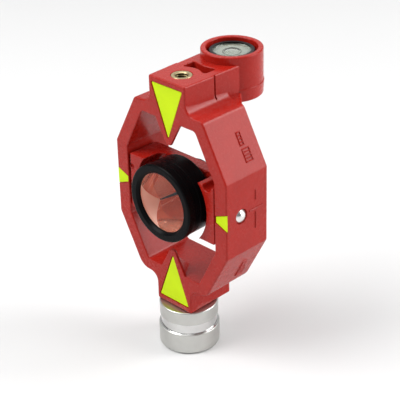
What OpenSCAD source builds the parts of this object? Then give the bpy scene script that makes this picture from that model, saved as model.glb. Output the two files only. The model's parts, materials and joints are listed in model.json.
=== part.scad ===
// Survey prism: a 25 mm corner-cube target that tilts in a moulded yoke with
// sighting triangles, a bullseye level and a threaded pole socket.
// +Z is up the pole, -Y is the way the glass looks, X runs along the tilt axis.
// The origin is the centre of the socket's bottom face.

/* [Yoke] */
// Height of the tilt axis above the socket's bottom face
axis_h = 71.5; // [70:0.5:75]
// Width across the side flats
yoke_w = 62; // [61:0.5:64]
// Depth of the yoke from front to back
yoke_d = 23.5; // [22:0.5:26]
// Distance from the tilt axis forward to the front face
front_reach = 8.5; // [8.3:0.1:9]
// Height of the straight side flats
flat_h = 33; // [32:0.5:35]
// Width across the shoulders
shoulder_w = 37.4; // [36.5:0.1:39]
// Height of the shoulders above the tilt axis, and below it
shoulder_h = 39.4; // [39:0.1:41]
// Width of the top and bottom blocks
block_w = 19.8; // [19.6:0.1:21]
// Height of the top block above the tilt axis
top_h = 51; // [50.5:0.1:52]
// Depth of the bottom block below the tilt axis
base_h = 51.1; // [50.8:0.1:51.5]

/* [Window] */
// Width of the window between the side bars
window_w = 49; // [48.8:0.1:50]
// Height of the straight part of the window's sides
window_flat = 30.8; // [30.6:0.1:32]
// Width of the window at its top and bottom edges
window_end_w = 29.5; // [28.5:0.1:30]
// Height of the window above the tilt axis, and below it
window_h = 34.1; // [33.5:0.1:34.5]
// Height above the tilt axis at which the sighting tongues end
tongue_reach = 23.9; // [23.7:0.1:25]
// Width of each tongue where it joins the block
tongue_w = 13.8; // [13.4:0.1:15]
// Thickness of the tongues
tongue_t = 1.2; // [1.1:0.1:1.6]

/* [Sighting triangles] */
// Width of the top and bottom triangles
mark_w = 16.6; // [15.5:0.1:17]
// Height above the tilt axis of the long triangles' outer sides
mark_far = 48.5; // [48:0.1:48.8]
// Height above the tilt axis of the long triangles' tips
mark_near = 26.7; // [26.5:0.1:28]
// Height of the small side triangles
side_mark_h = 7.2; // [6:0.1:8]
// Length of the small side triangles, before the window cuts their tips
side_mark_l = 9; // [8:0.1:10]
// Depth of the pockets that hold the triangles
pocket_d = 0.6; // [0.45:0.05:0.65]
// Thickness of the triangle inlays
inlay_t = 0.35; // [0.25:0.05:0.35]

/* [Level] */
// Outside radius of the level's cup
cup_r = 12.65; // [12.4:0.05:13]
// Radius of the recess that holds the vial
cup_bore_r = 10.4; // [10.2:0.05:10.5]
// Distance of the cup's axis behind the pole's axis
cup_y = 28.2; // [28:0.1:28.6]
// Height of the cup's rim above the tilt axis
cup_top = 54.3; // [53.8:0.1:54.6]
// Height of the cup's underside above the tilt axis
cup_base = 35.1; // [35:0.1:35.5]
// Outside radius of the vial's holder
vial_r = 9.35; // [9.2:0.05:9.5]

/* [Tilting cradle] */
// Width of the cradle across its arms
cradle_w = 47.7; // [47.5:0.1:47.8]
// Height of the cradle's arms
cradle_h = 25; // [24:0.5:25.5]
// Distance of the arms' front faces ahead of the tilt axis
cradle_front = 8.1; // [7.5:0.1:8.1]
// Distance of the cradle's back face behind the tilt axis
cradle_back = 7; // [6.8:0.1:7.2]
// Radius of the hollow between the arms
cradle_arc_r = 19.6; // [19.2:0.1:19.8]
// Thickness of the cradle's back plate
plate_t = 5.7; // [5.4:0.1:6]

/* [Prism] */
// Outside radius of the front ring
ring_r = 16.7; // [16.6:0.1:17]
// Distance of the ring's front face ahead of the tilt axis
ring_front = 14.6; // [14.4:0.1:15]
// Radius of the canister
can_r = 16.2; // [16:0.1:16.3]
// Radius of the clear aperture
aperture_r = 12.7; // [12.5:0.1:12.8]
// Radius of the glass
glass_r = 13.2; // [13.1:0.1:13.4]
// Depth of the glass from its face to its corner
glass_h = 18.8; // [18.8:0.1:19.4]
// Radius of the canister's threaded neck
neck_r = 9; // [9:0.1:9.5]

/* [Tilt pivots] */
// Radius of the pivot pins
pin_r = 2; // [1.8:0.1:2.2]
// Radius of the pins' domed heads
head_r = 3.05; // [2.9:0.05:3.1]
// Running clearance of the pins in the bushes
pin_gap = 0.05; // [0.03:0.01:0.08]

/* [Pole socket] */
// Radius of the socket's upper band
socket_r = 12.45; // [12.3:0.05:12.6]
// Radius of the socket's lower band
foot_r = 12.9; // [12.8:0.05:13.2]
// Radius of the polished groove between the bands
groove_r = 12; // [11.8:0.05:12.1]
// Radius of the tapped bore (minor radius of a 5/8 inch, 11 per inch thread)
thread_r = 6.9; // [6.8:0.05:7]
// Depth of the tapped bore
thread_depth = 14.5; // [13:0.5:14.5]

/* [Hidden] */
$fn = 96;
eps = 0.01;

red = [0.72, 0.12, 0.1];
lime = [0.8, 0.95, 0.15];
black = [0.05, 0.05, 0.05];
steel = [0.75, 0.75, 0.77];
brass = [0.8, 0.65, 0.35];
alloy = [0.78, 0.78, 0.76];
copper = [0.72, 0.42, 0.32];

front_y = -front_reach;
back_y = yoke_d - front_reach;
block_x = block_w / 2;
socket_h = axis_h - base_h;

// Yoke details
step_y = 7.6;
step_in = 0.45;
block_flare = 2.1;
foot_fillet = 4.5;
block_groove = 0.8;
web_x = 11.1;
web_y = 20.8;
collar_h = 5.6;
collar_out = 0.3;
insert_r = 4.35;
insert_l = 10;
top_bore_r = 2.5;
pocket_gap = 0.28;
insert_chamfer = 0.6;
slot_x = 6.1;
slot_front = 6.4;
slot_back = 13.3;
slot_boss_r = 8.2;
slot_lip_r = 16.3;
slot_corner = 1;
slot_depth = 12;
side_mark_cut = window_w / 2 + 0.7;
counterbore_r = 3.3;
counterbore_d = 1.6;
head_t = 2.4;
head_dome = 1.7;
gusset_y = 1.1;

// Level details
vial_h = 7.4;
vial_wall = 1.6;
vial_top = cup_top - 1.2;
vial_foot = vial_top - vial_h;
lens_t = 1;
base_t = 4.3;
bubble_h = 0.3;
cup_floor_top = vial_foot - 0.6;
cup_floor_t = 2.4;
vial_screw_ring = 6;
vial_screw_r = 1;

// Cradle and prism details
arm_x = cradle_w / 2;
bush_r = 3.2;
bush_in = 20.5;
washer_t = 0.5;
notch_x = 20.2;
notch_r = 2.3;
notch_l = 6;
dimple_x = -22.6;
dimple_z = 6.7;
dimple_r = 0.9;
dimple_d = 0.3;
hollow_fillet = 3;
body_back = 0.2;
seat_y = cradle_back - plate_t;
flange_r = 12;
glass_front = 1.8 - ring_front;
glass_tip = glass_front + glass_h;
ring_t = 3.6;
sleeve_r = 14.9;
sleeve_t = 2;
seal_t = 0.25;
coat_t = 0.15;
cube_turn = 30;
well_r = 3;
well_end = 7.4;
nut_r = 10.8;
nut_t = 3;
neck_end = 10;

// Socket details
groove_low = 9.6;
groove_high = 14.3;
screw_r = 2.1;
screw_head_r = 4.5;
screw_head_h = 2.5;
screw_seat = thread_depth + 3;
seat_r = 5.4;

function unit(v) = v / norm(v);
function wrap(a) = a > 180 ? a - 360 : a < -180 ? a + 360 : a;

// Points of a rounded corner at p1, between p0 and p2
function corner(p0, p1, p2, r, n = 8) =
    let (a = unit(p0 - p1), b = unit(p2 - p1), half = acos(a * b) / 2)
    let (c = p1 + unit(a + b) * r / sin(half), s = p1 + a * r / tan(half) - c, e = p1 + b * r / tan(half) - c)
    let (from = atan2(s[1], s[0]), sweep = wrap(atan2(e[1], e[0]) - from))
    [for (i = [0:n]) c + r * [cos(from + sweep * i / n), sin(from + sweep * i / n)]];

// An outline with every corner rounded; each point is [x, z, radius]
function rounded(pts) =
    let (n = len(pts))
    [for (i = [0:n - 1])
        let (p = pts[(i + n - 1) % n], q = pts[i], t = pts[(i + 1) % n])
        each (q[2] == 0 ? [[q[0], q[1]]] : corner([p[0], p[1]], [q[0], q[1]], [t[0], t[1]], q[2]))];

// The right-hand half of an outline followed by its mirror image
function both_sides(half) =
    concat(half, [for (i = [len(half) - 1:-1:0]) [-half[i][0], half[i][1], half[i][2]]]);

yoke_outline = both_sides([
    [block_x, top_h, 1],
    [block_x, shoulder_h, foot_fillet],
    [shoulder_w / 2, shoulder_h, 3],
    [yoke_w / 2, flat_h / 2, 1.5],
    [yoke_w / 2, -flat_h / 2, 1.5],
    [shoulder_w / 2, -shoulder_h, 6.5],
    [block_x, -shoulder_h, 4],
    [block_x, -base_h, 0.6]]);

window_outline = both_sides([
    [window_end_w / 2, window_h, 2],
    [window_w / 2, window_flat / 2, 2],
    [window_w / 2, -window_flat / 2, 2],
    [window_end_w / 2, -window_h, 2]]);

tongue_outline = both_sides([
    [tongue_w / 2 + 2, window_h + 3, 0],
    [tongue_w / 2, window_h, 3],
    [1.3, tongue_reach, 1.1]]);

// Puts what is drawn about the tilt axis at its height above the socket's foot
module on_axis() {
    translate([0, 0, axis_h]) children();
}

// A plate in the XZ plane that spans y0 to y1
module slab(y0, y1) {
    translate([0, y1, 0]) rotate([90, 0, 0]) linear_extrude(y1 - y0) children();
}

// A round solid along Y from y0 to y1
module round_y(r, y0, y1, r_end = 0) {
    translate([0, y0, 0]) rotate([-90, 0, 0])
        cylinder(r1 = r, r2 = r_end == 0 ? r : r_end, h = y1 - y0);
}

// A round solid along X from x0 to x1
module round_x(r, x0, x1) {
    translate([x0, 0, 0]) rotate([0, 90, 0]) cylinder(r = r, h = x1 - x0);
}

// A round solid along Z from z0 to z1
module round_z(r, z0, z1, r_end = 0) {
    translate([0, 0, z0]) cylinder(r1 = r, r2 = r_end == 0 ? r : r_end, h = z1 - z0);
}

// Both sides of a part that is the same left and right
module mirrored() {
    children();
    mirror([1, 0, 0]) children();
}

// The long triangle, grown by gap all round; dir is 1 for the top one and -1 for the bottom one
module long_triangle(dir, gap = 0) {
    apex = atan(mark_w / 2 / (mark_far - mark_near));
    far = mark_far + gap;
    near = mark_near - gap / sin(apex);
    half_w = (far - near) * tan(apex);
    polygon(rounded([[-half_w, dir * far, 0.4 + gap],
                     [half_w, dir * far, 0.4 + gap],
                     [0, dir * near, 0.25 + gap]]));
}

// The small triangle on the right-hand side bar, cut off at the window and at the side flat
module side_triangle(gap = 0) {
    slope = side_mark_h / 2 / side_mark_l;
    tip = yoke_w / 2 - side_mark_l - gap * sqrt(1 + 1 / slope / slope);
    from = side_mark_cut - gap;
    to = yoke_w / 2 + (gap > 0 ? 1 : 0);
    polygon([[to, slope * (to - tip)], [from, slope * (from - tip)],
             [from, -slope * (from - tip)], [to, -slope * (to - tip)]]);
}

// Everything on the near side of a plane through p with normal n
module near_side(p, n) {
    translate(p) rotate([0, acos(n[2] / norm(n)), atan2(n[1], n[0])])
        translate([-60, -60, -120]) cube(120);
}

// A sighting tongue, and the three-sided gusset that stiffens it from behind
module tongue() {
    root = tongue_w / 2;
    tip = tongue_reach + 1;
    slope = [1 / root, 1 / (gusset_y - front_y), -1 / (window_h - tip)];
    slab(front_y, front_y + tongue_t) polygon(rounded(tongue_outline));
    intersection() {
        translate([-root, front_y, tip]) cube([2 * root, gusset_y - front_y, window_h - tip + 1]);
        near_side([root, front_y, window_h], slope);
        mirror([1, 0, 0]) near_side([root, front_y, window_h], slope);
    }
}

module at_vial_screws() {
    for (a = [30, 150, 270])
        rotate([0, 0, a]) translate([vial_screw_ring, 0, 0]) children();
}

// Right-hand half of a length of the top block, whose side flares towards the level
module block_half(inset, y0, y1, z0) {
    intersection() {
        translate([-1, y0, z0]) cube([2 * block_x, y1 - y0, top_h - z0]);
        translate([block_x - inset, front_y, 0]) rotate([0, 0, -block_flare]) slab(-5, 50)
            polygon(rounded([
                [0, top_h, 1], [0, z0 - 1, 0], [-block_x - 3, z0 - 1, 0], [-block_x - 3, top_h, 0]]));
    }
}

// The flared top block, narrower behind its step
module block_sides() {
    mirrored() {
        block_half(0, front_y, step_y, shoulder_h - 0.5);
        block_half(step_in, step_y - eps, cup_y, cup_base);
    }
}

// The cup of the level, and the web that carries it behind the yoke
module cup_outside() {
    translate([0, cup_y, 0]) {
        round_z(cup_r, cup_base, cup_top);
        round_z(cup_r - 0.1, cup_base, cup_base + collar_h, cup_r + collar_out);
    }
    translate([0, 0, cup_base]) linear_extrude(shoulder_h - cup_base) polygon(rounded(both_sides([
        [shoulder_w / 2 - 1, back_y - 1, 0], [shoulder_w / 2 - 1, back_y, 0],
        [web_x, web_y, 2], [web_x, cup_y, 0]])));
}

module cup_hollow() {
    translate([0, cup_y, 0]) {
        round_z(cup_bore_r, cup_floor_top, cup_top + 1);
        round_z(cup_bore_r - 0.4, cup_base - 1, cup_floor_top - cup_floor_t);
        at_vial_screws() round_z(vial_screw_r + 0.3, cup_base, cup_top);
    }
}

// The dumbbell-shaped slot behind the top insert
module top_slot() {
    difference() {
        translate([0, 0, top_h - slot_depth]) linear_extrude(slot_depth + 1)
            polygon(rounded(both_sides([
                [slot_x, slot_front, slot_corner], [slot_x, slot_back, slot_corner]])));
        round_z(slot_boss_r, 0, top_h + 2);
        translate([0, cup_y, 0]) round_z(slot_lip_r, 0, top_h + 2);
    }
}

module yoke() {
    color(red) on_axis() difference() {
        union() {
            difference() {
                slab(front_y, back_y) polygon(rounded(yoke_outline));
                slab(front_y - 1, back_y + 1) polygon(rounded(window_outline));
            }
            tongue();
            mirror([0, 0, 1]) tongue();
            block_sides();
            cup_outside();
        }
        mirrored() translate([block_x - step_in, front_y, 0]) rotate([0, 0, -block_flare])
            translate([-block_groove / 2, step_y - front_y - eps, shoulder_h + foot_fillet / 3])
                cube([2, block_groove, top_h]);
        cup_hollow();
        top_slot();
        round_z(insert_r, top_h - insert_l, top_h + 1);
        round_z(top_bore_r + 0.4, top_h - insert_l - 3, top_h);
        round_z(insert_r, -base_h - 1, -base_h + insert_l);
        slab(front_y - 1, front_y + pocket_d) long_triangle(1, pocket_gap);
        slab(front_y - 1, front_y + pocket_d) long_triangle(-1, pocket_gap);
        mirrored() {
            slab(front_y - 1, front_y + pocket_d) side_triangle(pocket_gap);
            round_x(pin_r, window_w / 2 - 1, yoke_w / 2 + 1);
            round_x(counterbore_r, yoke_w / 2 - counterbore_d, yoke_w / 2 + 1);
        }
    }
}

module inlay() {
    color(lime) on_axis() slab(front_y + pocket_d - inlay_t, front_y + pocket_d) children();
}

module triangle_top() {
    inlay() long_triangle(1);
}

module triangle_bottom() {
    inlay() long_triangle(-1);
}

module triangle_left() {
    inlay() mirror([1, 0, 0]) side_triangle();
}

module triangle_right() {
    inlay() side_triangle();
}

// A brass insert with its mouth at z = 0, pointing up
module insert(bore_r) {
    color(brass) difference() {
        round_z(insert_r, -insert_l, 0);
        round_z(bore_r, -insert_l - 1, 1);
        round_z(bore_r, -insert_chamfer, eps, bore_r + insert_chamfer + eps);
    }
}

module top_insert() {
    translate([0, 0, axis_h + top_h]) insert(top_bore_r);
}

module base_insert() {
    translate([0, 0, socket_h]) mirror([0, 0, 1]) insert(screw_r);
}

module pole_socket() {
    color(alloy) difference() {
        rotate_extrude() polygon([
            [0, 0], [foot_r - 1.2, 0], [foot_r, 1.2], [foot_r, groove_low - 0.3],
            [foot_r - 0.3, groove_low], [groove_r, groove_low], [groove_r, groove_high],
            [socket_r - 0.3, groove_high], [socket_r, groove_high + 0.3],
            [socket_r, socket_h - 0.5], [socket_r - 0.5, socket_h], [0, socket_h]]);
        round_z(thread_r, -1, thread_depth);
        round_z(seat_r, thread_depth - 1, screw_seat);
        round_z(screw_r + 0.25, 0, socket_h + 1);
    }
}

module socket_washer() {
    color(steel) difference() {
        round_z(seat_r - 0.1, screw_seat - washer_t, screw_seat);
        round_z(screw_r + 0.2, 0, socket_h);
    }
}

// Pan-head screw that holds the socket to the yoke from inside the bore
module socket_screw() {
    head_back = screw_seat - washer_t;
    head_face = head_back - screw_head_h;
    color(steel) difference() {
        union() {
            round_z(screw_head_r - 0.4, head_face, head_face + 0.4, screw_head_r);
            round_z(screw_head_r, head_face + 0.4, head_back);
            round_z(screw_r, head_back - 0.5, socket_h + insert_l - 1);
        }
        translate([0, 0, head_face - 1]) cylinder(r = 2.3, h = 2.6, $fn = 6);
    }
}

module on_level() {
    translate([0, cup_y, axis_h]) children();
}

module vial_holder() {
    color(black) on_level() difference() {
        union() {
            round_z(vial_r, vial_foot, vial_top - 0.3);
            round_z(vial_r, vial_top - 0.3, vial_top, vial_r - 0.3);
        }
        round_z(vial_r - vial_wall, vial_foot + 1, vial_top + 1);
        at_vial_screws() round_z(vial_screw_r, 0, cup_top);
    }
}

// Clear lens with a domed top and a hollowed underside for the bubble
module vial_lens() {
    r = vial_r - vial_wall;
    dome_r = 45;
    hollow_r = 60;
    edge = sqrt(dome_r * dome_r - r * r);
    color([0.85, 0.9, 0.88, 0.5]) on_level() difference() {
        intersection() {
            round_z(r, vial_top - 0.6 - lens_t, vial_top + 2);
            translate([0, 0, vial_top - 0.6 - edge]) sphere(r = dome_r, $fn = 200);
        }
        translate([0, 0, vial_top - 1.2 - hollow_r]) sphere(r = hollow_r, $fn = 200);
    }
}

module vial_liquid() {
    r = vial_r - vial_wall;
    color([0.75, 0.82, 0.72, 0.6]) on_level()
        round_z(r, vial_foot + 1 + base_t, vial_top - 0.6 - lens_t);
}

module vial_bubble() {
    color([0.9, 0.95, 0.9, 0.4]) on_level()
        translate([0, 0, vial_top - 0.6 - lens_t]) round_z(3.2, 0, bubble_h, 2.6);
}

module vial_base() {
    color([0.85, 0.87, 0.82]) on_level()
        round_z(vial_r - vial_wall, vial_foot + 1, vial_foot + 1 + base_t);
}

// Three adjusting screws that reach up through the cup's floor
module vial_screws() {
    floor_low = cup_floor_top - cup_floor_t;
    color(steel) on_level() at_vial_screws() difference() {
        union() {
            round_z(vial_screw_r, floor_low - 0.5, vial_foot + 0.9);
            round_z(1.9, floor_low - 1.5, floor_low);
        }
        translate([-0.25, -2, floor_low - 2]) cube([0.5, 4, 1.1]);
    }
}

// The round hollow between the arms, filleted where it meets the back plate
module cradle_hollow() {
    inner_r = cradle_arc_r - hollow_fillet;
    corner_y = seat_y - hollow_fillet;
    fillet = [for (i = [0:8])
        [inner_r + hollow_fillet * sin(i * 90 / 8), corner_y + hollow_fillet * cos(i * 90 / 8)]];
    rotate([-90, 0, 0]) rotate_extrude() polygon(concat(
        [[0, -cradle_front - 1], [0, seat_y]], fillet, [[cradle_arc_r, -cradle_front - 1]]));
}

module cradle() {
    half_h = cradle_h / 2;
    color(red) on_axis() difference() {
        slab(-cradle_front, cradle_back) polygon(rounded(both_sides([
            [arm_x, half_h, 0.8], [arm_x, -half_h, 0.8]])));
        cradle_hollow();
        round_y(neck_r + 0.1, 0, cradle_back + 1);
        mirrored() round_x(bush_r, bush_in, arm_x + 1);
        translate([notch_x, 0, half_h]) round_y(notch_r, -cradle_front - 1, notch_l - cradle_front);
        translate([notch_x, notch_l - cradle_front, half_h]) sphere(r = notch_r);
        translate([dimple_x, 0, dimple_z]) round_y(dimple_r, -cradle_front - 1, dimple_d - cradle_front);
    }
}

// Pins with domed heads that sit in the yoke's counterbores
module pivot_pins() {
    head = yoke_w / 2 - counterbore_d;
    dome_r = (head_r * head_r + head_dome * head_dome) / 2 / head_dome;
    dome_a = asin(head_r / dome_r);
    dome = [for (i = [0:8])
        [dome_r * sin(dome_a * (1 - i / 8)), head + head_t - dome_r + dome_r * cos(dome_a * (1 - i / 8))]];
    color(steel) on_axis() mirrored() rotate([0, 90, 0])
        rotate_extrude() polygon(concat(
            [[0, bush_in + 0.3], [pin_r, bush_in + 0.3], [pin_r, head], [head_r, head]], dome));
}

module pivot_bushes() {
    color(brass) on_axis() mirrored() difference() {
        round_x(bush_r, bush_in, arm_x);
        round_x(pin_r + pin_gap, bush_in - 1, arm_x + 1);
    }
}

module friction_washers() {
    color(steel) on_axis() mirrored() difference() {
        round_x(4.6, arm_x, arm_x + washer_t);
        round_x(pin_r + pin_gap, arm_x - 1, arm_x + 2);
    }
}

// Turned body that holds the glass, with a flange and a threaded neck at the back
module canister() {
    wall_r = glass_r + 0.2;
    cone_from = glass_tip + 0.3 - wall_r / sqrt(2);
    color(black) on_axis() difference() {
        union() {
            round_y(can_r, ring_t - ring_front, -body_back - 0.6);
            round_y(can_r, -body_back - 0.6, -body_back, can_r - 0.6);
            round_y(flange_r, -body_back - 0.5, seat_y);
            round_y(neck_r, seat_y - 0.5, neck_end - 0.5);
            round_y(neck_r, neck_end - 0.5, neck_end, neck_r - 0.5);
        }
        round_y(sleeve_r, -ring_front, ring_t + sleeve_t - ring_front);
        round_y(wall_r, -ring_front, cone_from);
        round_y(wall_r, cone_from - eps, glass_tip + 0.3 - 1, sqrt(2));
        round_y(well_r, glass_tip - 1.5, well_end);
    }
}

// Screwed ring that clamps the glass against its seal
module front_ring() {
    color(black) on_axis() difference() {
        union() {
            round_y(ring_r - 0.8, -ring_front, 0.8 - ring_front, ring_r);
            round_y(ring_r, 0.8 - ring_front, ring_t - ring_front);
            round_y(sleeve_r, ring_t - 0.5 - ring_front, ring_t + sleeve_t - ring_front);
        }
        round_y(aperture_r + 1, -ring_front - eps, 1 - ring_front, aperture_r);
        round_y(aperture_r, -ring_front - 1, 0);
        round_y(glass_r + 0.1, glass_front - seal_t, 0);
    }
}

// Corner cube: a cube standing on its corner, inside a round blank
module cube_corner(h, r) {
    intersection() {
        round_y(r, 0, h + 1);
        translate([0, h, 0]) rotate([90, 0, 0]) rotate([0, 0, cube_turn])
            rotate([0, -atan(sqrt(2)), 0]) rotate([0, 0, -45])
                cube(3 * h);
    }
}

module corner_cube() {
    color(copper) on_axis() translate([0, glass_front, 0]) cube_corner(glass_h, glass_r);
}

module copper_coating() {
    color(copper) on_axis() translate([0, glass_front, 0]) difference() {
        cube_corner(glass_h + coat_t * sqrt(3), glass_r);
        cube_corner(glass_h, glass_r + 1);
    }
}

module front_seal() {
    color(black) on_axis() difference() {
        round_y(glass_r, glass_front - seal_t, glass_front);
        round_y(aperture_r, glass_front - 1, 0);
    }
}

module back_pad() {
    color(black) on_axis() round_y(well_r, glass_tip + coat_t * sqrt(3), well_end);
}

module neck_nut() {
    color(black) on_axis() difference() {
        union() {
            round_y(nut_r, cradle_back, cradle_back + nut_t - 0.5);
            round_y(nut_r, cradle_back + nut_t - 0.5, cradle_back + nut_t, nut_r - 0.5);
        }
        round_y(neck_r, 0, 20);
    }
}

yoke();
triangle_top();
triangle_bottom();
triangle_left();
triangle_right();
top_insert();
base_insert();
pole_socket();
socket_screw();
socket_washer();
vial_holder();
vial_lens();
vial_liquid();
vial_bubble();
vial_base();
vial_screws();
cradle();
pivot_pins();
pivot_bushes();
friction_washers();
canister();
front_ring();
corner_cube();
copper_coating();
front_seal();
back_pad();
neck_nut();
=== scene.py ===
"""Looks of the survey prism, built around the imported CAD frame. All lengths are in metres."""

import json
import math

import bmesh
import bpy
from mathutils import Matrix, Vector


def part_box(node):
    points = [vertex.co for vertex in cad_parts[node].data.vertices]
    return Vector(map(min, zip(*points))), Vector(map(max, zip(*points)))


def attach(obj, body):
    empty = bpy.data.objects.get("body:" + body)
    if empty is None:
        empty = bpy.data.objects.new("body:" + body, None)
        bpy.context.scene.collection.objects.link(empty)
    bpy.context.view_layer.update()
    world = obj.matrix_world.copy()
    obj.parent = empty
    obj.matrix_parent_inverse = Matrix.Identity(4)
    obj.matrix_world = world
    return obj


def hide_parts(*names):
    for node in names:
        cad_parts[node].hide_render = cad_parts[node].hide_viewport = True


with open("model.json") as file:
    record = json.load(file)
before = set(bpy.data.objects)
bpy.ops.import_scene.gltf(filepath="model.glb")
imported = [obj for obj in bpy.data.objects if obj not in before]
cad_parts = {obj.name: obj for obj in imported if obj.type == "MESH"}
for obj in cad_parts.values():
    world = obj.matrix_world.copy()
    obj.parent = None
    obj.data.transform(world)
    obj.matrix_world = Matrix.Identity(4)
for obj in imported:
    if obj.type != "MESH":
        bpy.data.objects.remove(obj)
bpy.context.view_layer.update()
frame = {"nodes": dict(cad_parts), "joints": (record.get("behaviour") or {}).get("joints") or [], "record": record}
nodes = frame["nodes"]

MM = 0.001
YOKE, PRISM = "yoke_body", "prism_body"
AXIS = Vector(frame["joints"][0]["pos_m"])


# ---------------------------------------------------------------- materials

class Surface:
    """A node material under construction: a Principled shader plus procedural inputs in real scale."""

    def __init__(self, name, base, roughness, metallic=0.0, specular=0.5, ior=1.5, transmission=0.0):
        self.material = bpy.data.materials.new(name)
        self.material.use_nodes = True
        self.tree = self.material.node_tree
        self.tree.nodes.clear()
        self.bsdf = self.add("ShaderNodeBsdfPrincipled")
        self.link(self.bsdf, "BSDF", self.add("ShaderNodeOutputMaterial"), "Surface")
        self.bsdf.inputs["Base Color"].default_value = (*base, 1)
        self.bsdf.inputs["Roughness"].default_value = roughness
        self.bsdf.inputs["Metallic"].default_value = metallic
        self.bsdf.inputs["Specular IOR Level"].default_value = specular
        self.bsdf.inputs["IOR"].default_value = ior
        self.bsdf.inputs["Transmission Weight"].default_value = transmission
        self.base = base
        self.roughness = roughness
        self.place = self.add("ShaderNodeTexCoord")
        self.normal = None

    def add(self, kind):
        return self.tree.nodes.new(kind)

    def link(self, a, output, b, socket):
        self.tree.links.new(a.outputs[output], b.inputs[socket])

    def noise(self, size, stretch=(1, 1, 1), detail=3):
        """Noise with features of about this size in metres, stretched along each axis."""
        mapping = self.add("ShaderNodeMapping")
        mapping.inputs["Scale"].default_value = [1 / size / s for s in stretch]
        texture = self.add("ShaderNodeTexNoise")
        texture.inputs["Scale"].default_value = 1
        texture.inputs["Detail"].default_value = detail
        self.link(self.place, "Object", mapping, "Vector")
        self.link(mapping, "Vector", texture, "Vector")
        return texture

    def tint(self, texture, low, high):
        """Base colour that wanders between two multiples of the base."""
        ramp = self.add("ShaderNodeValToRGB")
        for end, place, factor in zip(ramp.color_ramp.elements, (0.3, 0.7), (low, high)):
            end.position = place
            end.color = (*[min(1, c * factor) for c in self.base], 1)
        self.link(texture, "Fac", ramp, "Fac")
        self.link(ramp, "Color", self.bsdf, "Base Color")
        return self

    def gloss(self, texture, spread):
        """Roughness that wanders by +-spread."""
        span = self.add("ShaderNodeMapRange")
        span.inputs["To Min"].default_value = self.roughness - spread
        span.inputs["To Max"].default_value = self.roughness + spread
        self.link(texture, "Fac", span, "Value")
        self.link(span, "Result", self.bsdf, "Roughness")
        return self

    def bump(self, texture, height, strength=1.0):
        """Surface relief of this height in metres, added to any earlier one."""
        node = self.add("ShaderNodeBump")
        node.inputs["Distance"].default_value = height
        node.inputs["Strength"].default_value = strength
        self.link(texture, "Fac", node, "Height")
        if self.normal:
            self.link(self.normal, "Normal", node, "Normal")
        self.link(node, "Normal", self.bsdf, "Normal")
        self.normal = node
        return self


def moulded(name, base, roughness, height=0.003 * MM, specular=0.5):
    """Plastic with a fine grain and a slight waviness of its faces."""
    s = Surface(name, base, roughness, specular=specular)
    s.tint(s.noise(9 * MM), 0.94, 1.05)
    s.gloss(s.noise(2 * MM), 0.05)
    s.bump(s.noise(0.25 * MM, detail=2), height)
    s.bump(s.noise(6 * MM, detail=1), 0.02 * MM, 0.5)
    return s.material


def turned(name, base, roughness, lathe_axis=2, metallic=1.0, height=0.004 * MM, specular=0.5):
    """Metal with fine rings round the axis it was turned on."""
    stretch = [12, 12, 12]
    stretch[lathe_axis] = 1
    s = Surface(name, base, roughness, metallic, specular)
    s.tint(s.noise(5 * MM), 0.95, 1.04)
    s.gloss(s.noise(0.5 * MM, stretch), 0.04)
    s.bump(s.noise(0.12 * MM, stretch, detail=2), height)
    return s.material


RED = moulded("red_plastic", (0.365, 0.012, 0.0065), 0.27, specular=0.26)
LIME = moulded("lime_film", (0.58, 0.79, 0.004), 0.55, height=0.002 * MM, specular=0.15)
BLACK_PLASTIC = moulded("black_plastic", (0.004, 0.004, 0.005), 0.35, specular=0.2)
BLACK_METAL = turned("black_metal", (0.0035, 0.0035, 0.004), 0.28, lathe_axis=1, metallic=0.0,
                     height=0.002 * MM, specular=0.06)
ALLOY = turned("socket_alloy", (0.56, 0.56, 0.535), 0.36)
POLISHED = turned("polished_alloy", (0.66, 0.66, 0.65), 0.16, height=0.001 * MM)
BRASS = turned("insert_brass", (0.55, 0.44, 0.24), 0.32)
# Darker brass for the thread inside the bore: painted shade deep in the hole.
BRASS_PAINTED_SHADE = turned("insert_thread", (0.16, 0.12, 0.06), 0.35)
STEEL = turned("screw_steel", (0.62, 0.62, 0.63), 0.25)
CHROME = turned("pin_steel", (0.80, 0.79, 0.78), 0.26, lathe_axis=0, height=0.001 * MM)
NYLON = moulded("washer_nylon", (0.75, 0.72, 0.62), 0.5)
RUBBER = moulded("seal_rubber", (0.02, 0.02, 0.02), 0.7)
DISC = moulded("level_disc", (0.19, 0.205, 0.175), 0.5, specular=0.1)


def clear(name, base, roughness, ior):
    s = Surface(name, base, roughness, ior=ior, transmission=1.0)
    s.gloss(s.noise(4 * MM), roughness * 0.5)
    return s.material


GLASS = clear("prism_glass", (0.97, 0.98, 0.97), 0.01, 1.5)
LENS = clear("level_glass", (0.95, 0.97, 0.95), 0.03, 1.25)
LIQUID = clear("level_liquid", (0.86, 0.93, 0.82), 0.01, 1.36)


def pane():
    """The polished front face of the glass: almost clear, with a thin even sheen."""
    s = Surface("prism_front", (1.0, 1.0, 1.0), 0.03, metallic=1.0)
    s.bsdf.inputs["Alpha"].default_value = 0.04
    s.gloss(s.noise(4 * MM), 0.01)
    return s.material


def mirror(name, base):
    """The copper coat as it looks through the glass; its faint glow is painted light, an emission that stands in
    for the light that the corner sends back.
    """
    s = Surface(name, base, 0.40, metallic=0.1, specular=0.3)
    # Painted light: a faint emission in place of the light that the corner cube sends back.
    s.bsdf.inputs["Emission Color"].default_value = (1.0, 0.27, 0.15, 1)
    s.bsdf.inputs["Emission Strength"].default_value = 0.12
    s.tint(s.noise(8 * MM), 0.96, 1.04)
    s.gloss(s.noise(4 * MM), 0.04)
    return s.material


def copper():
    """The outside of the coat."""
    s = Surface("copper_film", (0.86, 0.36, 0.22), 0.12, metallic=1.0)
    s.tint(s.noise(7 * MM), 0.92, 1.05)
    s.gloss(s.noise(3 * MM), 0.04)
    return s.material


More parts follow.
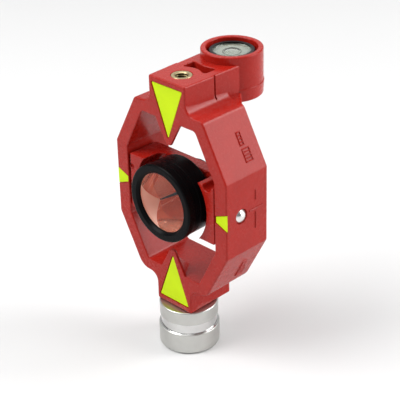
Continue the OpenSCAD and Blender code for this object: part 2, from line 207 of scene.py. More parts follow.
COPPER = copper()
PANE = pane()
MIRROR = mirror("copper_mirror", (0.98, 0.46, 0.30))
# The edge of the glass, paler than the facets, carries the same painted glow.
SKIRT = mirror("glass_skirt", (0.98, 0.66, 0.54))

finishes = {
    "red_plastic": RED, "lime_film": LIME, "insert_brass": BRASS, "socket_alloy": ALLOY,
    "screw_steel": STEEL, "black_plastic": BLACK_PLASTIC, "level_glass": LENS,
    "level_liquid": LIQUID, "level_disc": DISC, "pin_steel": CHROME, "washer_nylon": NYLON,
    "black_metal": BLACK_METAL, "prism_glass": GLASS, "copper_film": COPPER, "seal_rubber": RUBBER,
}
slots = {p["node"]: p["material_slot"] for p in frame["record"]["subparts"]}
for name, obj in nodes.items():
    obj.data.materials.clear()
    obj.data.materials.append(finishes[slots[name]])


# ---------------------------------------------------------------- shape helpers, in millimetres

def corner(p0, p1, p2, r, n=8):
    """Points of a rounded corner at p1, between p0 and p2."""
    p0, p1, p2 = Vector(p0), Vector(p1), Vector(p2)
    a, b = (p0 - p1).normalized(), (p2 - p1).normalized()
    half = math.acos(max(-1, min(1, a.dot(b)))) / 2
    centre = p1 + (a + b).normalized() * r / math.sin(half)
    start, end = p1 + a * r / math.tan(half) - centre, p1 + b * r / math.tan(half) - centre
    first = math.atan2(start.y, start.x)
    sweep = math.remainder(math.atan2(end.y, end.x) - first, 2 * math.pi)
    return [centre + r * Vector((math.cos(first + sweep * i / n), math.sin(first + sweep * i / n)))
            for i in range(n + 1)]


def rounded(points, n=8):
    """Outline with every corner rounded; each point is (x, y, radius)."""
    out = []
    for i, (x, y, r) in enumerate(points):
        before, after = points[i - 1], points[(i + 1) % len(points)]
        out += corner(before[:2], (x, y), after[:2], r, n) if r else [Vector((x, y))]
    return out


def both_sides(half):
    """The right-hand half of an outline followed by its mirror image."""
    return half + [(-x, *more) for x, *more in reversed(half)]


def grown(outline, d):
    """The outline moved outwards by d."""
    area = sum(a.x * b.y - b.x * a.y for a, b in zip(outline, outline[1:] + outline[:1]))
    side = 1 if area > 0 else -1
    out = []
    for i, p in enumerate(outline):
        e0, e1 = (p - outline[i - 1]).normalized(), (outline[(i + 1) % len(outline)] - p).normalized()
        n0, n1 = Vector((e0.y, -e0.x)) * side, Vector((e1.y, -e1.x)) * side
        out.append(p + (n0 + n1) / max(0.3, 1 + n0.dot(n1)) * d)
    return out


def quarter(r, n=4):
    """(depth, offset) along a rounded edge, from the end face inwards."""
    angles = [math.radians(90 * i / n) for i in range(n + 1)]
    return [(r - r * math.cos(a), -r + r * math.sin(a)) for a in angles]


def ends(lo, hi, r_lo, r_hi=None):
    """Levels of a solid from lo to hi with rounded ends."""
    r_hi = r_lo if r_hi is None else r_hi
    low = [(lo + d, o) for d, o in quarter(r_lo)] if r_lo else [(lo, 0)]
    high = [(hi - d, o) for d, o in reversed(quarter(r_hi))] if r_hi else [(hi, 0)]
    return low + high


def mouth(face, floor, r, way=1):
    """Levels of a cutter that sinks from a face to a floor and rounds the edge; way is the direction in."""
    return [(face - way, r)] + [(face + way * d, -o) for d, o in quarter(r)] + [(floor, 0)]


def through(lo, hi, r):
    """Levels of a cutter that goes right through from lo to hi and rounds both edges."""
    low, high = mouth(lo, 0, r)[:-1], mouth(hi, 0, r, -1)[:-1]
    return low + high[::-1]


# Turns (across, across, along) into x, y, z for a piece that runs along an axis.
AXES = {
    "X": lambda u, v, w: (w, u, v),
    "Y": lambda u, v, w: (u, w, v),
    "Z": lambda u, v, w: (u, v, w),
}
level_lo, level_hi = (Vector(c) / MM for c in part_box("vial_lens"))
CUP_Y = (level_lo.y + level_hi.y) / 2
AT = {
    "axis": AXIS / MM,
    "foot": Vector((0, 0, 0)),
    "level": AXIS / MM + Vector((0, CUP_Y, 0)),
}


def solid(name, rings, capped=True):
    """Object skinned over rings of points, in millimetres. A ring of radius nought becomes one point."""
    mesh = bpy.data.meshes.new(name)
    bm = bmesh.new()
    count = len(rings[0])
    loops = []
    for ring in rings:
        if (ring[0] - ring[count // 2]).length < 1e-6:
            loops.append([bm.verts.new(ring[0])] * count)
        else:
            loops.append([bm.verts.new(p) for p in ring])

    def skin(corners):
        distinct = list(dict.fromkeys(corners))
        if len(distinct) > 2:
            bm.faces.new(distinct)

    pairs = list(zip(loops, loops[1:])) + ([] if capped else [(loops[-1], loops[0])])
    for a, b in pairs:
        for i in range(count):
            j = (i + 1) % count
            skin((a[i], a[j], b[j], b[i]))
    if capped:
        skin(loops[0][::-1])
        skin(loops[-1])
    bmesh.ops.recalc_face_normals(bm, faces=bm.faces)
    bm.to_mesh(mesh)
    bm.free()
    obj = bpy.data.objects.new(name, mesh)
    bpy.context.scene.collection.objects.link(obj)
    return obj


def stack(outline, levels, along="Y", at="axis"):
    """Solid swept along an axis; levels are (place, offset of the outline)."""
    turn, base = AXES[along], AT[at]
    rings = [[base + Vector(turn(p.x, p.y, w)) for p in grown(outline, o)] for w, o in levels]
    return solid("stack", rings)


def lathe(profile, along="Y", at="axis", n=128, thread=None):
    """Turned solid from (radius, place) points. thread is (from, to, pitch, depth, radius): points at that
    radius and between those places follow a screw thread that cuts outwards."""
    turn, base = AXES[along], AT[at]

    def groove(w, share):
        start, stop, pitch, depth, _ = thread
        flank = 1.15 * (1 - abs(2 * ((w / pitch - share) % 1) - 1)) - 0.07
        fade = min(1, (w - start) / pitch * 2, (stop - w) / pitch * 2)
        return depth * max(0, min(1, flank)) * fade

    rings = []
    for r, w in profile:
        threaded = thread and abs(r - thread[4]) < 1e-6 and thread[0] <= w <= thread[1]
        ring = []
        for i in range(n):
            a = 2 * math.pi * i / n
            radius = r + groove(w, i / n) if threaded else r
            ring.append(base + Vector(turn(radius * math.cos(a), radius * math.sin(a), w)))
        rings.append(ring)
    return solid("lathe", rings, capped=profile[0][0] < 1e-6)


def disc_profile(r, lo, hi):
    """Profile of a plain cylinder."""
    return [(0, lo), (r, lo), (r, hi), (0, hi)]


def arc(r, first, last, n):
    """(across, along) points on a circle about nought, with angles in degrees from the along axis."""
    angles = [math.radians(first + (last - first) * i / n) for i in range(n + 1)]
    return [(r * math.sin(a), r * math.cos(a)) for a in angles]


def box_outline(x0, x1, y0, y1):
    return [Vector(p) for p in ((x0, y0), (x1, y0), (x1, y1), (x0, y1))]


def soft_profile(points, n=5):
    """Profile of a turned part, with rounded corners; each point is (radius, place, corner radius)."""
    return [tuple(p) for p in rounded(points, n)]


def combine(base, add=(), cut=()):
    """Exact union of base and the solids in add, less the solids in cut. Everything but base is used up."""
    tools = [(o, "UNION") for o in add] + [(o, "DIFFERENCE") for o in cut]
    for tool, operation in tools:
        step = base.modifiers.new("step", "BOOLEAN")
        step.object = tool
        step.operation = operation
        step.solver = "EXACT"
    bpy.context.view_layer.update()
    graph = bpy.context.evaluated_depsgraph_get()
    mesh = bpy.data.meshes.new_from_object(base.evaluated_get(graph))
    base.modifiers.clear()
    base.data = mesh
    for tool, _ in tools:
        bpy.data.objects.remove(tool)
    return base


def merge(base, others):
    """Adds other solids to base without cutting them together."""
    bm = bmesh.new()
    for o in [base, *others]:
        bm.from_mesh(o.data)
    bm.to_mesh(base.data)
    bm.free()
    for o in others:
        bpy.data.objects.remove(o)
    return base


SMOOTH_ANGLE = math.radians(30)


def round_edges(obj, width, segments):
    """Rounds the sharp edges of an object and keeps its flat faces flat."""
    edge = obj.modifiers.new("edge", "BEVEL")
    edge.width = width
    edge.segments = segments
    edge.limit_method = "ANGLE"
    edge.angle_limit = SMOOTH_ANGLE
    edge.use_clamp_overlap = False
    edge.miter_outer = "MITER_ARC"


def finish_piece(obj, name, body, slot, stands_for=(), bevel=0.0):
    """Scales a piece from millimetres, smooths it, and puts it on its body with its finish."""
    obj.name = obj.data.name = name
    for v in obj.data.vertices:
        v.co *= MM
    bm = bmesh.new()
    bm.from_mesh(obj.data)
    bmesh.ops.remove_doubles(bm, verts=bm.verts, dist=1e-7)
    bmesh.ops.dissolve_degenerate(bm, edges=bm.edges, dist=1e-7)
    bm.to_mesh(obj.data)
    bm.free()
    obj.data.shade_smooth()
    if bevel:
        round_edges(obj, bevel * MM, 3)
    else:
        obj.data.set_sharp_from_angle(angle=SMOOTH_ANGLE)
    normals = obj.modifiers.new("normals", "WEIGHTED_NORMAL")
    normals.keep_sharp = True
    normals.weight = 60
    if not obj.data.materials:
        obj.data.materials.append(finishes[slot])
    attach(obj, body)
    if stands_for:
        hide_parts(*stands_for)
    return obj


# ---------------------------------------------------------------- yoke

# Places are measured from the tilt axis: X across, Y from front to back, Z up.
FRONT, BACK = -8.5, 15.0
SHOULDER_W, SHOULDER_H = 18.7, 39.4
FLAT_X, FLAT_Z = 31.0, 16.5
BLOCK_X = 9.9
TOP, BASE = 51.0, -51.1
WINDOW_X, WINDOW_TOP_X = 24.5, 14.75
WINDOW_Z, WINDOW_FLAT_Z = 34.1, 15.4
CUP_TOP, CUP_BASE = 54.3, 35.1
CUP_R, CUP_BORE, CUP_DEPTH = 12.65, 10.4, 9.2
INSERT_R, INSERT_HOLE = 4.35, 10
EDGE = 0.7
STEP_Y, STEP_IN, GROOVE_W = 7.5, 0.45, 0.8
FLARE = math.tan(math.radians(2.1))
POCKET_GAP, POCKET_DEPTH = 0.28, 0.6


def flared(x, y):
    """Half width of the top block at y, for a half width of x at the front."""
    return x + (y - FRONT) * FLARE


def long_triangle(way, gap):
    """Outline of the top (way 1) or bottom (way -1) triangle's pocket."""
    half, far, near = 8.3, 48.5, 26.7
    apex = math.atan(half / (far - near))
    far, near = far + gap, near - gap / math.sin(apex)
    wide = (far - near) * math.tan(apex)
    base_r, tip_r = 0.4 + gap, 0.25 + gap
    return rounded([(-wide, way * far, base_r), (wide, way * far, base_r), (0, way * near, tip_r)], 5)


def side_triangle(gap):
    """Outline of the right triangle's pocket, which runs out past the flat."""
    slope, tip = 0.4, 22.0
    tip -= gap * math.sqrt(1 + 1 / slope ** 2)
    x0, x1 = 25.2 - gap, FLAT_X + 1
    return [Vector(p) for p in ((x1, slope * (x1 - tip)), (x0, slope * (x0 - tip)),
                                (x0, -slope * (x0 - tip)), (x1, -slope * (x1 - tip)))]


def tongue(way):
    """Sighting tongue under the top block, or above the bottom one, and the gusset behind it."""
    root, tip, tip_half, tip_r, thick = 6.9, 23.9, 1.3, 1.1, 1.2
    outline = rounded(both_sides([
        (root + 2, way * (WINDOW_Z + 3), 0), (root, way * WINDOW_Z, 3), (tip_half, way * tip, tip_r)]))
    blade = stack(outline, ends(FRONT, FRONT + thick, 0.3))
    low, back, up, sunk = tip + 1, 1.1, WINDOW_Z + 1.5, 0.05
    left, right = (-root, FRONT, WINDOW_Z), (root, FRONT, WINDOW_Z)
    point, rear = (0, FRONT, low), (0, back, WINDOW_Z)
    roof = [(x, y, up) for x, y, z in (left, right, rear)]
    verts = [AT["axis"] + Vector((x, y + sunk, way * z)) for x, y, z in (left, right, point, rear, *roof)]
    faces = [(0, 2, 1), (0, 3, 2), (1, 2, 3), (0, 1, 5, 4), (1, 3, 6, 5), (3, 0, 4, 6), (4, 5, 6)]
    mesh = bpy.data.meshes.new("gusset")
    mesh.from_pydata(verts, [], faces)
    bm = bmesh.new()
    bm.from_mesh(mesh)
    bmesh.ops.recalc_face_normals(bm, faces=bm.faces)
    ridge = [e for e in bm.edges if {v.index for v in e.verts} == {2, 3}]
    bmesh.ops.bevel(bm, geom=ridge, offset=1.2, segments=5, profile=0.5, affect="EDGES")
    bm.to_mesh(mesh)
    bm.free()
    gusset = bpy.data.objects.new("gusset", mesh)
    bpy.context.scene.collection.objects.link(gusset)
    return [blade, gusset]


def yoke_plate():
    """The octagonal frame with its window and the bottom block."""
    plate = stack(rounded(both_sides([
        (BLOCK_X, SHOULDER_H + 6, 0), (BLOCK_X, SHOULDER_H, 4.5), (SHOULDER_W, SHOULDER_H, 3),
        (FLAT_X, FLAT_Z, 1.5), (FLAT_X, -FLAT_Z, 1.5), (SHOULDER_W, -SHOULDER_H, 6.5),
        (BLOCK_X, -SHOULDER_H, 4), (BLOCK_X, BASE, 0.9)])), ends(FRONT, BACK, EDGE))
    window = stack(rounded(both_sides([
        (WINDOW_TOP_X, WINDOW_Z, 2), (WINDOW_X, WINDOW_FLAT_Z, 2),
        (WINDOW_X, -WINDOW_FLAT_Z, 2), (WINDOW_TOP_X, -WINDOW_Z, 2)])), through(FRONT, BACK, 0.5))
    return combine(plate, cut=[window])


def top_block():
    """The block in front of the side grooves, and the neck behind them that reaches to the level."""
    corner_r = EDGE + 0.05
    block = stack(rounded(both_sides([
        (BLOCK_X, FRONT, corner_r), (flared(BLOCK_X, STEP_Y), STEP_Y, corner_r)])),
        ends(SHOULDER_H - 0.5, TOP, 0, EDGE), "Z")
    neck_x, neck_y = BLOCK_X - STEP_IN, 2
    neck = stack(rounded(both_sides([
        (flared(neck_x, neck_y), neck_y, corner_r), (flared(neck_x, CUP_Y), CUP_Y, corner_r)])),
        ends(CUP_BASE + 0.2, TOP, 0, EDGE), "Z")
    return [block, neck]


def level_seat():
    """The web behind the shoulders, the collar and the cup."""
    web = stack(rounded(both_sides([
        (SHOULDER_W - 1, BACK - 2.5, 0), (SHOULDER_W - 1, BACK, 0.8), (11.1, 20.8, 2), (11.1, CUP_Y, 0)])),
        ends(CUP_BASE, SHOULDER_H - 0.02, 0.5), "Z")
    collar_top = CUP_BASE + 5.6
    collar = lathe(soft_profile([
        (0, CUP_BASE, 0), (CUP_R - 0.1, CUP_BASE, 0.5), (CUP_R + 0.3, collar_top, 0.3),
        (0, collar_top, 0)]), "Z", "level")
    cup = lathe(soft_profile([
        (0, CUP_BASE, 0), (CUP_R, CUP_BASE, 0.5), (CUP_R, CUP_TOP, 0.55), (0, CUP_TOP, 0)]), "Z", "level")
    return [web, collar, cup]


def level_cuts():
    """The cup's bore from above and from below, and the holes of the three adjusting screws."""
    floor, web_t = CUP_TOP - CUP_DEPTH, 2.4
    above = [(CUP_BORE + o, w) for w, o in mouth(CUP_TOP, floor, 0.5, -1)]
    below = [(CUP_BORE - 0.4 + o, w) for w, o in mouth(CUP_BASE, floor - web_t, 0.4)]
    cuts = [lathe([(0, CUP_TOP + 1), *above, (0, floor)], "Z", "level"),
            lathe([(0, CUP_BASE - 1), *below, (0, floor - web_t)], "Z", "level")]
    circle, hole_r = 6, 1.3
    for a in (30, 150, 270):
        hole = lathe(disc_profile(hole_r, CUP_BASE, CUP_TOP), "Z", "level", 32)
        turn = math.radians(a)
        hole.data.transform(Matrix.Translation((circle * math.cos(turn), circle * math.sin(turn), 0)))
        cuts.append(hole)
    return cuts


def block_cuts():
    """The holes of both inserts, the slot in the top face and the grooves in the block's sides."""
    upper = [(INSERT_R + o, w) for w, o in mouth(TOP, TOP - INSERT_HOLE, 0.25, -1)]
    lower = [(INSERT_R + o, w) for w, o in mouth(BASE, BASE + INSERT_HOLE, 0.25)]
    cuts = [lathe([(0, TOP + 1), *upper, (0, TOP - INSERT_HOLE)], "Z"),
            lathe(disc_profile(2.5, TOP - 13, TOP - 9)[::-1], "Z"),
            lathe([(0, BASE - 1), *lower, (0, BASE + INSERT_HOLE)], "Z"),
            stack(slot_outline(), mouth(TOP, TOP - 12, 0.4, -1), "Z")]
    inner = flared(BLOCK_X - STEP_IN, STEP_Y) - STEP_IN
    for side in (1, -1):
        groove = box_outline(side * inner, side * (inner + STEP_IN + 2), STEP_Y, STEP_Y + GROOVE_W)
        cuts.append(stack(groove, [(SHOULDER_H + 1.5, 0), (TOP + 1, 0)], "Z"))
    return cuts


def front_cuts():
    """Pockets of the four triangles, and the counterbores and bores of both pins."""
    pocket = mouth(FRONT, FRONT + POCKET_DEPTH, 0.12)
    cuts = [stack(long_triangle(way, POCKET_GAP), pocket) for way in (1, -1)]
    counter_r, counter_depth, pin_r, pin_end = 3.2, 1.6, 2, 23.5
    for side in (1, -1):
        cuts.append(stack([Vector((p.x * side, p.y)) for p in side_triangle(POCKET_GAP)], pocket))
        floor = side * (FLAT_X - counter_depth)
        sunk = [(counter_r + o, w) for w, o in mouth(side * FLAT_X, floor, 0.15, -side)]
        cuts.append(lathe([(0, side * (FLAT_X + 1)), *sunk, (0, floor)], "X"))
        cuts.append(lathe(disc_profile(pin_r, side * pin_end, side * FLAT_X), "X"))
    return cuts


def make_yoke():
    plate = combine(yoke_plate(), add=[*tongue(1), *tongue(-1), *top_block(), *level_seat()],
                    cut=[*level_cuts(), *block_cuts(), *front_cuts()])
    merge(plate, raised_marks())
    return finish_piece(plate, "yoke_shell", YOKE, "red_plastic", ["yoke"])


def slot_outline():
    """The dumbbell-shaped slot between the insert's boss and the level's cup."""
    half, front, boss, lip, n = 6.1, 6.4, 8.2, 16.3, 10
    back = CUP_Y - math.sqrt(lip ** 2 - half ** 2)
    across = [half * i / n for i in range(-n + 1, n)]
    near = [(x, max(front, math.sqrt(boss ** 2 - x ** 2)), 0) for x in across if abs(x) < half - 1.4]
    far = [(x, CUP_Y - math.sqrt(lip ** 2 - x ** 2), 0) for x in reversed(across) if abs(x) < half - 1.4]
    return rounded([(-half, front, 1), *near, (half, front, 1), (half, back, 1), *far, (-half, back, 1)], 5)


def bar(origin, along, across, u, v, half_u, half_v):
    """Raised bar with a rounded back, its middle at u along and v across from the origin."""
    out = along.cross(across).normalized()
    out *= 1 if out.x > 0 else -1
    centre = origin + along * u + across * v
    rings = []
    for lift, shrink in ((-0.4, 0), (0.12, 0.02), (0.3, 0.12), (0.4, 0.26)):
        a, b = half_u - shrink, half_v - shrink
        rings.append([centre + along * x + across * y + out * lift
                      for x, y in ((a, b), (-a, b), (-a, -b), (a, -b))])
    return solid("mark", rings)


def ladder(origin, along, across, u, v, half, reach, thin):
    """Plain scale: two rails of this half length, reach apart, with rungs between them."""
    rungs = 5
    bars = [bar(origin, along, across, u, place, half, thin) for place in (v, v + reach)]
    for i in range(rungs):
        step = (half - thin) * (2 * i / (rungs - 1) - 1)
        bars.append(bar(origin, along, across, u + step, v + reach / 2, thin, reach / 2))
    return bars


def raised_marks():
    """Index cross on the right flat, and two plain scales on each slope above and below it."""
    up, back, thin = Vector((0, 0, 1)), Vector((0, 1, 0)), 0.3
    flat = AT["axis"] + Vector((FLAT_X, 0, 0))
    bars = [bar(flat, back, up, 7.95, 6.6, thin, 2.2), bar(flat, back, up, 7.95, -4.5, thin, 3.75),
            bar(flat, back, up, 8.2, 0.7, 3.85, thin)]
    narrow, wide, side = 1.9, 3.6, 5.5
    for way, first, last, reaches in ((1, 4.1, 17.7, (wide, narrow)), (-1, 8.7, 19.7, (narrow, wide))):
        slope = Vector((SHOULDER_W - FLAT_X, 0, way * (SHOULDER_H - FLAT_Z))).normalized()
        origin = AT["axis"] + Vector((FLAT_X, 0, way * FLAT_Z))
        quarter_length = (last - first) / 4
        for middle, reach in zip((first + quarter_length, last - quarter_length), reaches):
            bars += ladder(origin, slope, back, middle, side, quarter_length * 0.85, reach, thin)
    return bars


# ---------------------------------------------------------------- cradle

def make_cradle():
    arm_x, half_h, front, back, seat, hollow, fillet_r = 23.85, 12.5, -8.1, 7.0, 1.3, 19.6, 3
    block = stack(rounded(both_sides([(arm_x, half_h, 0.9), (arm_x, -half_h, 0.9)])), ends(front, back, 0))
    fillet = [(hollow - fillet_r + x, seat - fillet_r + y) for x, y in arc(fillet_r, 90, 0, 6)]
    notch_x, notch_r, notch_end = 20.2, 2.3, 6.0 + front
    notch = lathe([(0, notch_end + notch_r), *[(x, notch_end + y) for x, y in arc(notch_r, 15, 90, 5)],
                   (notch_r, front - 1), (0, front - 1)], n=48)
    notch.data.transform(Matrix.Translation((notch_x, 0, half_h)))
    dimple_r, dimple_d = 0.9, 0.3
    dimple = lathe([(0, front - 1), (dimple_r, front - 1), (dimple_r, front + dimple_d / 2),
                    (dimple_r - dimple_d, front + dimple_d), (0, front + dimple_d)], n=32)
    dimple.data.transform(Matrix.Translation((-22.6, 0, 6.7)))
    neck_r, pin_r, pin_end = 9.1, 3.2, 20.4
    cuts = [lathe([(0, front - 1), (hollow, front - 1), *fillet, (0, seat)]), notch, dimple,
            lathe(disc_profile(neck_r, 0, back + 1))]
    cuts += [lathe(disc_profile(pin_r, side * pin_end, side * (arm_x + 1.15)), "X", n=64) for side in (1, -1)]
    combine(block, cut=cuts)
    return finish_piece(block, "cradle_arms", PRISM, "red_plastic", ["cradle"], bevel=0.45)


# ---------------------------------------------------------------- turned parts

def make_socket():
    """Socket with a 5/8 inch, 11 per inch thread in its bore, and a polished groove round its outside."""
    top, r, upper_r, groove_r, groove_lo, groove_hi = 20.4, 12.9, 12.45, 12.0, 9.6, 14.3
    pitch, minor, depth, screw_r, cavity_r, web_lo = 2.309, 6.9, 14.5, 2.35, 5.4, 17.5
    turns = [(minor, depth - 0.2 - (depth - 1.4) * i / 60, 0) for i in range(61)]
    outside = [(minor + 1.2, 0, 0.1), (r, 0, 1.3), (r, groove_lo, 0.35), (groove_r, groove_lo + 0.15, 0.2),
               (groove_r, groove_hi - 0.15, 0.2), (upper_r, groove_hi, 0.35), (upper_r, top, 0.6),
               (screw_r, top, 0)]
    inside = [(screw_r, web_lo, 0), (cavity_r, web_lo, 0.1), (cavity_r, depth, 0), *turns,
              (minor + 0.1, 1.1, 0)]
    thread = (1.2, depth - 0.2, pitch, 1.0, minor)
    obj = lathe(soft_profile(outside + inside, 4), "Z", "foot", 144, thread)
    obj.data.materials.append(ALLOY)
    obj.data.materials.append(POLISHED)
    for p in obj.data.polygons:
        reach = math.hypot(p.center.x, p.center.y)
        if groove_r - 0.1 < reach < upper_r - 0.05 and groove_lo - 0.1 < p.center.z < groove_hi + 0.2:
            p.material_index = 1
    return finish_piece(obj, "pole_socket_turned", YOKE, "socket_alloy", ["pole_socket"])


def make_top_insert():
    """Brass insert, a little below the top face, with an M6 thread in its bore."""
    bore, r, length, pitch, depth, sunk = 2.5, 4.28, 10.0, 1.0, 0.5, 0.08
    foot, face = TOP - length, TOP - sunk
    turns = [(bore, foot + 0.3 + (length - 0.8) * i / 80, 0) for i in range(81)]
    rim = [(bore + 0.55, face, 0.1), (r, face, 0.35), (r, foot, 0.3), (bore + 0.3, foot, 0)]
    thread = (foot + 0.3, TOP - 0.5, pitch, depth, bore)
    obj = lathe(soft_profile(rim + turns, 3), "Z", "axis", 96, thread)
    obj.data.materials.append(BRASS)
    obj.data.materials.append(BRASS_PAINTED_SHADE)
    # Faces of the thread inside the bore take the darker brass: painted shade in the hole.
    for p in obj.data.polygons:
        if math.hypot(p.center.x, p.center.y) < bore + 0.5 and p.center.z < AT["axis"].z + TOP - 0.6:
            p.material_index = 1
    return finish_piece(obj, "top_insert_threaded", YOKE, "insert_brass", ["top_insert"])


def make_canister():
    """The canister with a fine groove round its body and a fine thread on its neck."""
    front, r, back, neck_r, nut_end = -11.0, 16.2, -0.2, 9, 10
    ring_r, glass_r, glass_seat, glass_end, corner_y = 14.9, 13.4, -9, -3.7, 4.7
    groove = front + 3.2
    outside = [(ring_r, front, 0), (r, front, 0.25), (r, groove, 0.05), (r - 0.18, groove + 0.1, 0.05),
               (r - 0.18, groove + 0.4, 0.05), (r, groove + 0.5, 0.05), (r, back, 0.6), (12, back, 0.2),
               (12, back + 1.5, 0), (neck_r, back + 1.5, 0)]
    thread = [(neck_r - (0.32 if i % 2 else 0), 7.0 + 0.25 * i, 0) for i in range(10)]
    rest = [(neck_r, nut_end, 0.4), (0, nut_end, 0), (0, corner_y, 0), (glass_r, glass_end, 0),
            (glass_r, glass_seat, 0), (ring_r, glass_seat, 0)]
    obj = lathe(soft_profile(outside + [(neck_r, 6.9, 0)] + thread + rest, 4), n=144)
    return finish_piece(obj, "canister_turned", PRISM, "black_metal", ["canister"])


def make_ring():
    front, r, inner, lip = -14.6, 16.7, 12.7, 13.3
    land, spigot_r, rim, depth = front + 1.55, 14.9, front + 3.6, front + 5.6
    profile = [(inner, front + 1.0, 0.1), (inner + 1, front, 0.2), (r, front, 0.85), (r, rim, 0.3),
               (spigot_r, rim, 0), (spigot_r, depth, 0), (lip, depth, 0), (lip, land, 0), (inner, land, 0)]
    ring = lathe(soft_profile(profile, 6), n=160)
    return finish_piece(ring, "front_ring_turned", PRISM, "black_metal", ["front_ring"])


def make_nut():
    """Ring nut with two slots for a pin spanner."""
    bore, r, lo, hi = 9.02, 10.8, 7, 10
    nut = lathe(soft_profile([(bore, lo, 0), (r, lo, 0.3), (r, hi, 0.5), (bore, hi, 0.2)], 4), n=96)
    slots = [stack(box_outline(side * 9.6, side * 12, -1, 1), [(8.8, 0), (10.5, 0)]) for side in (1, -1)]
    combine(nut, cut=slots)
    return finish_piece(nut, "neck_nut_slotted", PRISM, "black_metal", ["neck_nut"])


def make_pins():
    """Both pivot pins, each with a domed head in its counterbore."""
    head, dome, r, tall, shank_r, end = 29.4, 1.7, 3.05, 2.4, 2, 20.8
    radius = (r * r + dome * dome) / 2 / dome
    sweep = math.degrees(math.asin(r / radius))
    pins = []
    for side in (1, -1):
        curve = [(x, side * (head + tall - radius + y)) for x, y in arc(radius, sweep, 0, 12)]
        shank = [(0, side * end), (shank_r - 0.2, side * end), (shank_r, side * (end + 0.2)),
                 (shank_r, side * head), (r - 0.1, side * head), (r, side * (head + 0.1))]
        pins.append(lathe([*shank, *curve], "X", n=96))
    return finish_piece(merge(pins[0], pins[1:]), "pivot_pins_domed", YOKE, "pin_steel", ["pivot_pins"])


# ---------------------------------------------------------------- glass and level

def make_glass():
    """The corner cube: a clear front pane, and the mirrored facets and edge seen through it."""
    weld, slack, tilted = 2e-6, 0.01 * MM, 0.3
    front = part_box("corner_cube")[0][1]
    mesh = bpy.data.meshes.new("corner_cube_glass")
    bm = bmesh.new()
    bm.from_mesh(nodes["corner_cube"].data)
    bmesh.ops.remove_doubles(bm, verts=bm.verts, dist=weld)
    bmesh.ops.recalc_face_normals(bm, faces=bm.faces)
    bm.normal_update()
    for face in bm.faces:
        at_front = max(v.co.y for v in face.verts) < front + slack
        face.material_index = 0 if at_front else 1 if abs(face.normal.y) > tilted else 2
        face.smooth = False
    bm.to_mesh(mesh)
    bm.free()
    if "custom_normal" in mesh.attributes:
        mesh.attributes.remove(mesh.attributes["custom_normal"])
    for finish in (PANE, MIRROR, SKIRT):
        mesh.materials.append(finish)
    obj = bpy.data.objects.new("corner_cube_glass", mesh)
    bpy.context.scene.collection.objects.link(obj)
    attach(obj, PRISM)
    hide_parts("corner_cube")
    return obj


def make_level():
    """Clear body of the vial, from the disc to the domed top, with the bubble as a hollow in it."""
    top, low, r, dome, rim = CUP_TOP - 1.2, CUP_TOP - 3.3, 7.73, 45.0, 0.6
    edge = math.sqrt(dome ** 2 - r ** 2)
    crown = []
    for i in range(9):
        x = r * (1 - i / 8)
        crown.append((x, top - rim + math.sqrt(dome ** 2 - x ** 2) - edge))
    body = lathe([(0, low + 0.02), (r, low + 0.02), *crown], "Z", "level", 96)
    wide, tall, under, flatter = 3.0, 0.5, top - 1.35, 0.65
    bubble = []
    for x, y in arc(1, 180, 0, 16)[::-1]:
        bubble.append((wide * x, under - tall * y * (flatter if y > 1e-6 else 1)))
    hollow = lathe(bubble, "Z", "level", 64)
    hollow.data.flip_normals()
    obj = finish_piece(merge(body, [hollow]), "vial_clear", YOKE, "level_glass",
                       ["vial_lens", "vial_liquid", "vial_bubble"])
    obj.visible_shadow = False
    inner, outer, lo, hi = 3.45, 3.75, low + 0.01, low + 0.06
    ring = lathe([(inner, lo), (outer, lo), (outer, hi), (inner, hi)], "Z", "level", 96)
    finish_piece(ring, "vial_ring_mark", YOKE, "black_plastic")
    return obj


make_yoke()
make_cradle()
make_socket()
make_top_insert()
make_canister()
make_ring()
make_nut()
make_pins()
make_glass()
make_level()


# ---------------------------------------------------------------- modifiers on CAD nodes

def soften(obj, width):
    """Merge the solid's triangles into faces and round its edges."""
    weld = obj.modifiers.new("weld", "WELD")
    weld.merge_threshold = 1e-6
    flat = obj.modifiers.new("flat", "DECIMATE")
    flat.decimate_type = "DISSOLVE"
    flat.angle_limit = math.radians(0.5)
    round_edges(obj, width, 2)
    normals = obj.modifiers.new("normals", "WEIGHTED_NORMAL")
    normals.keep_sharp = True
    for polygon in obj.data.polygons:
        polygon.use_smooth = True


for name in ("triangle_top", "triangle_bottom", "triangle_left", "triangle_right"):
    soften(nodes[name], 0.08 * MM)


# ---------------------------------------------------------------- stage, light, camera

def direction(azimuth, elevation):
    """Unit vector towards a place seen from the object; azimuth 0 is the front, 90 the right."""
    a, e = math.radians(azimuth), math.radians(elevation)
    return Vector((math.sin(a) * math.cos(e), -math.cos(a) * math.cos(e), math.sin(e)))


def make_floor(half=3.0):
    mesh = bpy.data.meshes.new("floor")
    corners = [(-half, -half, 0), (half, -half, 0), (half, half, 0), (-half, half, 0)]
    mesh.from_pydata(corners, [], [(0, 1, 2, 3)])
    floor = bpy.data.objects.new("floor", mesh)
    bpy.context.scene.collection.objects.link(floor)
    paper = Surface("paper", (0.73, 0.73, 0.73), 0.8, specular=0.1)
    paper.bump(paper.noise(2 * MM), 0.01 * MM)
    mesh.materials.append(paper.material)


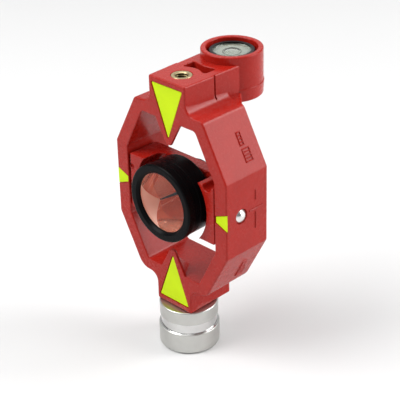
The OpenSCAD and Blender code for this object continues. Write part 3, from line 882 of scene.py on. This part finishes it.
def make_tent():
    """White tent, brighter above and behind on the left, with a weaker glow in front."""
    world = bpy.data.worlds.new("tent")
    bpy.context.scene.world = world
    world.use_nodes = True
    tree = world.node_tree
    background = tree.nodes["Background"]
    background.inputs["Color"].default_value = (1, 1, 1, 1)
    place = tree.nodes.new("ShaderNodeTexCoord")
    total = tree.nodes.new("ShaderNodeMath")
    total.operation = "ADD"
    glows = (((-0.35, 0.45, 0.82), (0.0, 0.9), (0.06, 0.55)),
             ((0.36, -0.86, 0.36), (0.60, 0.95), (0.0, 0.35)))
    for i, (towards, span, level) in enumerate(glows):
        facing = tree.nodes.new("ShaderNodeVectorMath")
        facing.operation = "DOT_PRODUCT"
        facing.inputs[1].default_value = towards
        glow = tree.nodes.new("ShaderNodeMapRange")
        for socket, value in zip(("From Min", "From Max", "To Min", "To Max"), (*span, *level)):
            glow.inputs[socket].default_value = value
        tree.links.new(place.outputs["Generated"], facing.inputs[0])
        tree.links.new(facing.outputs["Value"], glow.inputs["Value"])
        tree.links.new(glow.outputs[0], total.inputs[i])
    tree.links.new(total.outputs[0], background.inputs["Strength"])


def softbox(name, azimuth, elevation, distance, size, power):
    towards = direction(azimuth, elevation)
    data = bpy.data.lights.new(name, "AREA")
    data.shape = "SQUARE"
    data.size = size
    data.energy = power
    lamp = bpy.data.objects.new(name, data)
    bpy.context.scene.collection.objects.link(lamp)
    lamp.location = AXIS + towards * distance
    lamp.rotation_euler = towards.to_track_quat("Z", "Y").to_euler()


def studio():
    make_floor()
    make_tent()
    softbox("key", -35, 48, 1.0, 0.6, 8)
    softbox("back", -134, 28, 1.2, 0.7, 0.6)
    softbox("rim", 141, 41, 1.1, 0.35, 3.5)
    softbox("side", 129, 17, 1.2, 0.8, 8.5)
    softbox("top", 0, 85, 1.0, 0.8, 3)


def camera():
    azimuth, elevation, roll = 45.76, 28.16, -0.0295
    distance, target = 0.4943, Vector((0, 0.0035, AXIS.z))
    back = direction(azimuth, elevation)
    side = direction(azimuth + 90, 0)
    up = back.cross(side)
    right = side * math.cos(roll) + up * math.sin(roll)
    over = up * math.cos(roll) - side * math.sin(roll)
    data = bpy.data.cameras.new("camera")
    data.sensor_width = 36
    data.lens = 109.6
    data.shift_x = 0.0213
    data.shift_y = -0.0295
    data.clip_start = 0.01
    obj = bpy.data.objects.new("camera", data)
    bpy.context.scene.collection.objects.link(obj)
    turn = Matrix((right, over, back)).transposed().to_4x4()
    obj.matrix_world = Matrix.Translation(target + back * distance) @ turn
    bpy.context.scene.camera = obj


studio()
camera()
bpy.context.scene.view_settings.view_transform = "Standard"
